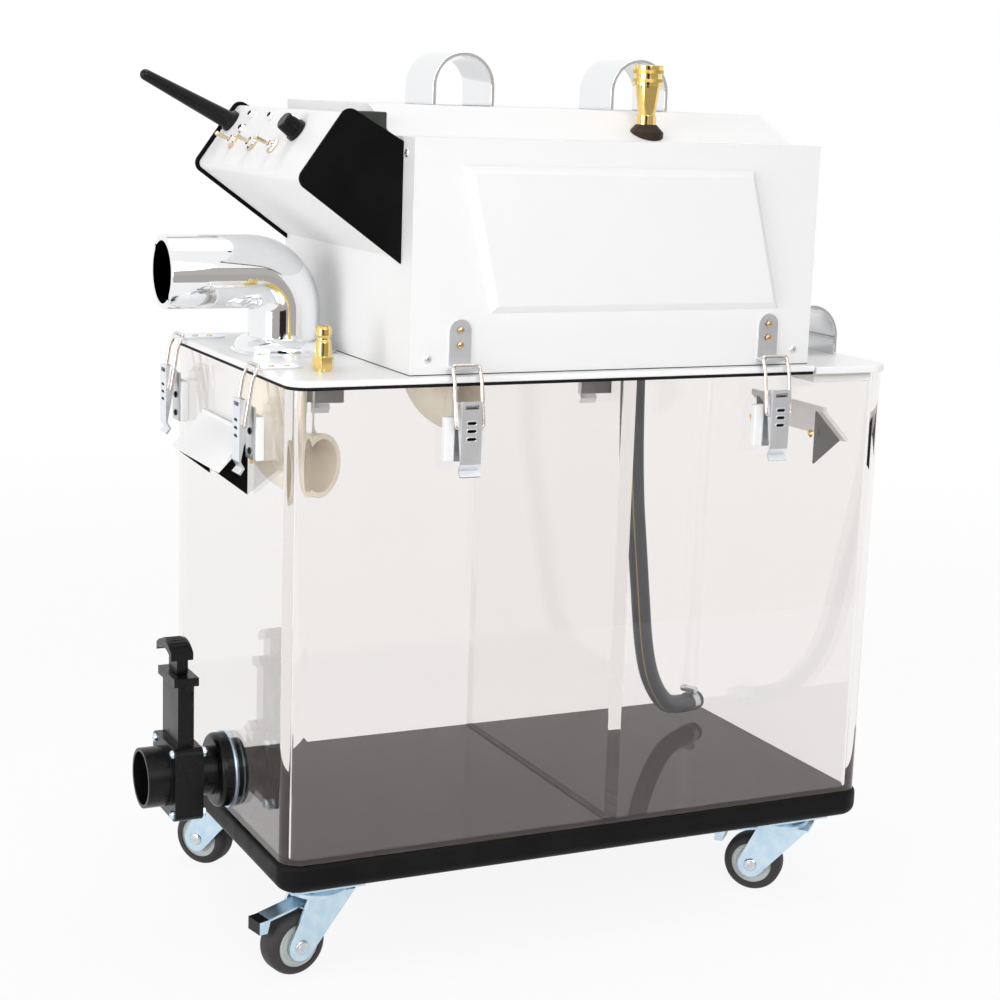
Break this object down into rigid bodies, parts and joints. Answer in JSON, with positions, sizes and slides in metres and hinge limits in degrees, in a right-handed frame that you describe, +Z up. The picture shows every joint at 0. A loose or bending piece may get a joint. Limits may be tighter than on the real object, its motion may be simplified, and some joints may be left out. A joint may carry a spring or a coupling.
{
  "type": "carpet cleaning machine",
  "caption": "Portable carpet cleaning machine: clear two-chamber tank on swivel castors under a latched white pump housing with control console, suction inlet and drain gate.",
  "frame": {"origin": "on the floor, under the middle of the machine's box", "axes": "+X from the hose and console end to the fill lid end, -Y the front with the raised cover, +Z up"},
  "size_m": [0.6184, 0.323, 0.701],
  "materials": {
    "clear_acrylic": "clear cast acrylic sheet, polished",
    "tray_black": "black moulded plastic, satin",
    "white_paint": "white powder coat on steel sheet",
    "white_plastic": "white plastic sheet, smooth",
    "black_sheet": "black powder coat, satin",
    "chrome_steel": "polished chrome plate",
    "stainless": "pressed stainless steel",
    "zinc_steel": "blue-white zinc plate",
    "brass_gold": "bright turned brass",
    "pvc_cream": "cream moulded pipe",
    "hose_rubber": "dark grey hose with a yellow tracer",
    "seal_rubber": "black sealing rubber",
    "black_plastic": "black moulded plastic",
    "tyre_grey": "dark grey rubber tread on a pale hub",
    "motor_grey": "cast housings of the motor and the pump"
  },
  "bodies": {
    "tank": {"base_tray": "tray_black", "tank_shell": "clear_acrylic", "tank_divider": "clear_acrylic", "end_grabs": "white_plastic", "grab_cheeks": "black_sheet", "latch_bases": "stainless", "latch_spacers": "white_plastic", "caster_plates": "zinc_steel", "drain_valve": "black_plastic"},
    "top": {"lid_plate": "white_plastic", "lid_gasket": "seal_rubber", "housing_shell": "white_paint", "front_cover": "white_paint", "console_shell": "white_paint", "console_cheeks": "black_sheet", "panel_fittings": "chrome_steel", "antenna": "black_plastic", "wire_block": "black_plastic", "carry_handles": "chrome_steel", "inlet_elbow": "chrome_steel", "drop_pipes": "pvc_cream", "quick_plug": "brass_gold", "coupler_boot": "seal_rubber", "coupler_body": "brass_gold", "suction_hose": "hose_rubber", "hose_clamp": "brass_gold", "vacuum_motor": "motor_grey", "water_pump": "motor_grey", "cord_gland": "black_plastic", "latch_keepers": "stainless"},
    "fill_cover": {"fill_lid": "white_plastic", "fill_lid_handle": "chrome_steel"},
    "drain_gate": {"drain_gate": "black_plastic"},
    "coupler_sleeve": {"coupler_sleeve": "brass_gold"},
    "speed_knob": {"speed_knob": "black_plastic"},
    "toggle_1": {"toggle_lever_1": "chrome_steel"},
    "toggle_2": {"toggle_lever_2": "chrome_steel"},
    "toggle_3": {"toggle_lever_3": "chrome_steel"},
    "fork_front_left": {"caster_fork_front_left": "zinc_steel"},
    "wheel_front_left": {"caster_wheel_front_left": "tyre_grey"},
    "pedal_front_left": {"brake_pedal_front_left": "zinc_steel"},
    "fork_front_right": {"caster_fork_front_right": "zinc_steel"},
    "wheel_front_right": {"caster_wheel_front_right": "tyre_grey"},
    "pedal_front_right": {"brake_pedal_front_right": "zinc_steel"},
    "fork_rear_left": {"caster_fork_rear_left": "zinc_steel"},
    "wheel_rear_left": {"caster_wheel_rear_left": "tyre_grey"},
    "fork_rear_right": {"caster_fork_rear_right": "zinc_steel"},
    "wheel_rear_right": {"caster_wheel_rear_right": "tyre_grey"},
    "lever_front_left": {"latch_lever_front_left": "stainless"},
    "bail_front_left": {"latch_bail_front_left": "stainless"},
    "lever_rear_left": {"latch_lever_rear_left": "stainless"},
    "bail_rear_left": {"latch_bail_rear_left": "stainless"},
    "lever_front_right": {"latch_lever_front_right": "stainless"},
    "bail_front_right": {"latch_bail_front_right": "stainless"},
    "lever_rear_right": {"latch_lever_rear_right": "stainless"},
    "bail_rear_right": {"latch_bail_rear_right": "stainless"},
    "lever_end_front": {"latch_lever_end_front": "stainless"},
    "bail_end_front": {"latch_bail_end_front": "stainless"},
    "lever_end_rear": {"latch_lever_end_rear": "stainless"},
    "bail_end_rear": {"latch_bail_end_rear": "stainless"}
  },
  "joints": [
    {"name": "top_lift", "type": "slide", "parent": "tank", "child": "top", "axis": [0, 0, 1], "range_m": [0, 0.31]},
    {"name": "fill_lift", "type": "slide", "parent": "tank", "child": "fill_cover", "axis": [0, 0, 1], "range_m": [0, 0.12]},
    {"name": "drain_pull", "type": "slide", "parent": "tank", "child": "drain_gate", "axis": [0, 0, 1], "range_m": [0, 0.036]},
    {"name": "sleeve_push", "type": "slide", "parent": "top", "child": "coupler_sleeve", "axis": [0, 0, -1], "range_m": [0, 0.005], "stiffness_N_per_m": 400},
    {"name": "knob_turn", "type": "hinge", "parent": "top", "child": "speed_knob", "pos_m": [-0.20142, -0.044, 0.63663], "axis": [-0.8142, 0, 0.5805], "range_deg": [-140, 140]},
    {"name": "toggle_1_flip", "type": "hinge", "parent": "top", "child": "toggle_1", "pos_m": [-0.21228, -0.015, 0.6257], "axis": [0, 1, 0], "range_deg": [0, 24]},
    {"name": "toggle_2_flip", "type": "hinge", "parent": "top", "child": "toggle_2", "pos_m": [-0.21228, 0.032, 0.6257], "axis": [0, 1, 0], "range_deg": [0, 24]},
    {"name": "toggle_3_flip", "type": "hinge", "parent": "top", "child": "toggle_3", "pos_m": [-0.21228, 0.079, 0.6257], "axis": [0, 1, 0], "range_deg": [0, 24]},
    {"name": "swivel_front_left", "type": "hinge", "parent": "tank", "child": "fork_front_left", "pos_m": [-0.20125, -0.111, 0.073], "axis": [0, 0, 1], "continuous": true},
    {"name": "roll_front_left", "type": "hinge", "parent": "fork_front_left", "child": "wheel_front_left", "pos_m": [-0.22281, -0.11539, 0.025], "axis": [0.1994, -0.9799, 0], "continuous": true},
    {"name": "brake_front_left", "type": "hinge", "parent": "fork_front_left", "child": "pedal_front_left", "pos_m": [-0.21301, -0.11339, 0.0546], "axis": [0.1994, -0.9799, 0], "range_deg": [0, 8]},
    {"name": "swivel_front_right", "type": "hinge", "parent": "tank", "child": "fork_front_right", "pos_m": [0.22475, -0.111, 0.073], "axis": [0, 0, 1], "continuous": true},
    {"name": "roll_front_right", "type": "hinge", "parent": "fork_front_right", "child": "wheel_front_right", "pos_m": [0.2093, -0.09534, 0.025], "axis": [-0.712, -0.7022, 0], "continuous": true},
    {"name": "brake_front_right", "type": "hinge", "parent": "fork_front_right", "child": "pedal_front_right", "pos_m": [0.21632, -0.10246, 0.0546], "axis": [-0.712, -0.7022, 0], "range_deg": [0, 8]},
    {"name": "swivel_rear_left", "type": "hinge", "parent": "tank", "child": "fork_rear_left", "pos_m": [-0.20125, 0.111, 0.073], "axis": [0, 0, 1], "continuous": true},
    {"name": "roll_rear_left", "type": "hinge", "parent": "fork_rear_left", "child": "wheel_rear_left", "pos_m": [-0.21482, 0.12831, 0.025], "axis": [-0.7869, -0.617, 0], "continuous": true},
    {"name": "swivel_rear_right", "type": "hinge", "parent": "tank", "child": "fork_rear_right", "pos_m": [0.22475, 0.111, 0.073], "axis": [0, 0, 1], "continuous": true},
    {"name": "roll_rear_right", "type": "hinge", "parent": "fork_rear_right", "child": "wheel_rear_right", "pos_m": [0.20408, 0.10348, 0.025], "axis": [0.342, -0.9397, 0], "continuous": true},
    {"name": "latch_front_left", "type": "hinge", "parent": "tank", "child": "lever_front_left", "pos_m": [-0.10525, -0.1555, 0.443], "axis": [-1, 0, 0], "range_deg": [0, 90]},
    {"name": "bail_front_left", "type": "hinge", "parent": "lever_front_left", "child": "bail_front_left", "pos_m": [-0.10525, -0.158, 0.427], "axis": [-1, 0, 0], "range_deg": [-63.5, 0]},
    {"name": "latch_rear_left", "type": "hinge", "parent": "tank", "child": "lever_rear_left", "pos_m": [-0.10525, 0.1555, 0.443], "axis": [1, 0, 0], "range_deg": [0, 90]},
    {"name": "bail_rear_left", "type": "hinge", "parent": "lever_rear_left", "child": "bail_rear_left", "pos_m": [-0.10525, 0.158, 0.427], "axis": [1, 0, 0], "range_deg": [-63.5, 0]},
    {"name": "latch_front_right", "type": "hinge", "parent": "tank", "child": "lever_front_right", "pos_m": [0.16475, -0.1555, 0.443], "axis": [-1, 0, 0], "range_deg": [0, 90]},
    {"name": "bail_front_right", "type": "hinge", "parent": "lever_front_right", "child": "bail_front_right", "pos_m": [0.16475, -0.158, 0.427], "axis": [-1, 0, 0], "range_deg": [-63.5, 0]},
    {"name": "latch_rear_right", "type": "hinge", "parent": "tank", "child": "lever_rear_right", "pos_m": [0.16475, 0.1555, 0.443], "axis": [1, 0, 0], "range_deg": [0, 90]},
    {"name": "bail_rear_right", "type": "hinge", "parent": "lever_rear_right", "child": "bail_rear_right", "pos_m": [0.16475, 0.158, 0.427], "axis": [1, 0, 0], "range_deg": [-63.5, 0]},
    {"name": "latch_end_front", "type": "hinge", "parent": "tank", "child": "lever_end_front", "pos_m": [-0.25175, -0.073, 0.4378], "axis": [0, 1, 0], "range_deg": [0, 90]},
    {"name": "bail_end_front", "type": "hinge", "parent": "lever_end_front", "child": "bail_end_front", "pos_m": [-0.25425, -0.073, 0.4218], "axis": [0, 1, 0], "range_deg": [-63.5, 0]},
    {"name": "latch_end_rear", "type": "hinge", "parent": "tank", "child": "lever_end_rear", "pos_m": [-0.25175, 0.115, 0.4378], "axis": [0, 1, 0], "range_deg": [0, 90]},
    {"name": "bail_end_rear", "type": "hinge", "parent": "lever_end_rear", "child": "bail_end_rear", "pos_m": [-0.25425, 0.115, 0.4218], "axis": [0, 1, 0], "range_deg": [-63.5, 0]}
  ],
  "couplings": [
    {"joint": "bail_front_left", "follows": "latch_front_left", "ratio": -0.7},
    {"joint": "bail_rear_left", "follows": "latch_rear_left", "ratio": -0.7},
    {"joint": "bail_front_right", "follows": "latch_front_right", "ratio": -0.7},
    {"joint": "bail_rear_right", "follows": "latch_rear_right", "ratio": -0.7},
    {"joint": "bail_end_front", "follows": "latch_end_front", "ratio": -0.7},
    {"joint": "bail_end_rear", "follows": "latch_end_rear", "ratio": -0.7}
  ]
}
